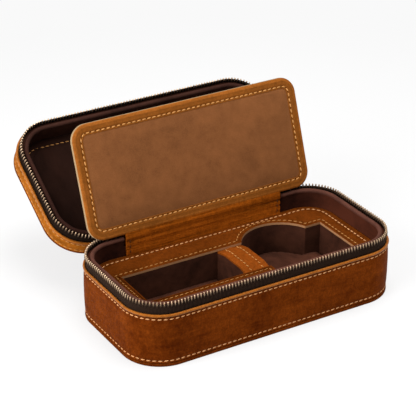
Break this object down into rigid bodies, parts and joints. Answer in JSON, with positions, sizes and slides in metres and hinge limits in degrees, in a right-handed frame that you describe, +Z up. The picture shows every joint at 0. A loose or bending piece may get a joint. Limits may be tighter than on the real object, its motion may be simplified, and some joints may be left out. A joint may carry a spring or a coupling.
{
  "type": "watch travel case",
  "caption": "Zip-around leather travel case for watches, open, with a suede-lined tray of wells, a padded flap on a leather hinge and a shallow lid.",
  "frame": {"origin": "centre of the base's underside, on the surface it stands on", "axes": "+X along the front to the right, +Y to the hinge at the back, +Z up"},
  "size_m": [0.171, 0.1723, 0.1025],
  "materials": {
    "outer_leather": "oiled pull-up leather, cognac, soft sheen",
    "edge_leather": "light tan leather, waxed",
    "tray_leather": "orange-brown leather, waxed",
    "dark_suede": "dark chocolate suede",
    "rose_suede": "dusty rose-brown suede",
    "brown_suede": "mid-brown suede",
    "zip_tape": "black woven tape",
    "antique_brass": "antique brass, brushed",
    "grey_board": "pressed grey board",
    "foam": "dense black foam"
  },
  "bodies": {
    "base": {"base_bottom_panel": "outer_leather", "base_outer_wall": "outer_leather", "base_wall_board": "grey_board", "base_floor_board": "grey_board", "base_liner_wall": "dark_suede", "base_liner_edge": "rose_suede", "base_back_ledge": "tray_leather", "base_piping": "edge_leather", "base_zip_tape": "zip_tape", "base_zip_teeth": "antique_brass", "base_zip_stops": "antique_brass", "base_spine_leaf": "outer_leather", "tray_foam_block": "foam", "tray_board": "grey_board", "tray_top": "tray_leather", "tray_divider_strap": "tray_leather", "left_well_liner": "dark_suede", "right_well_liner": "dark_suede", "left_well_pad": "dark_suede", "right_well_pad": "dark_suede", "flap_hinge_strip": "tray_leather"},
    "flap": {"flap_frame": "edge_leather", "flap_front_panel": "brown_suede", "flap_board": "grey_board", "flap_back_panel": "brown_suede"},
    "lid": {"lid_top_panel": "outer_leather", "lid_outer_wall": "outer_leather", "lid_wall_board": "grey_board", "lid_top_board": "grey_board", "lid_liner_wall": "dark_suede", "lid_liner_panel": "dark_suede", "lid_liner_edge": "rose_suede", "lid_back_ledge": "tray_leather", "lid_piping": "edge_leather", "lid_zip_tape": "zip_tape", "lid_zip_teeth": "antique_brass", "lid_zip_stops": "antique_brass", "lid_spine_leaf": "outer_leather"},
    "slider": {"zip_slider": "antique_brass", "zip_pull_pin": "antique_brass"},
    "pull_tab": {"zip_pull_tab": "antique_brass"}
  },
  "joints": [
    {"name": "lid_hinge", "type": "hinge", "parent": "base", "child": "lid", "pos_m": [0, 0.0445, 0.0376], "axis": [-1, 0, 0], "range_deg": [-148, 0]},
    {"name": "flap_fold", "type": "hinge", "parent": "base", "child": "flap", "pos_m": [0, 0.036, 0.03865], "axis": [-1, 0, 0], "range_deg": [-109.4, 0]},
    {"name": "slider_turn", "type": "hinge", "parent": "base", "child": "slider", "pos_m": [-0.0572, 0.0445, 0.0376], "axis": [-1, 0, 0], "range_deg": [-74, 0]},
    {"name": "pull_tab_swing", "type": "hinge", "parent": "slider", "child": "pull_tab", "pos_m": [-0.0572, 0.04633, 0.03812], "axis": [0, 0.9613, 0.2756], "range_deg": [-12, 40]}
  ],
  "couplings": [
    {"joint": "flap_fold", "follows": "lid_hinge", "ratio": 0.7391},
    {"joint": "slider_turn", "follows": "lid_hinge", "ratio": 0.5}
  ]
}
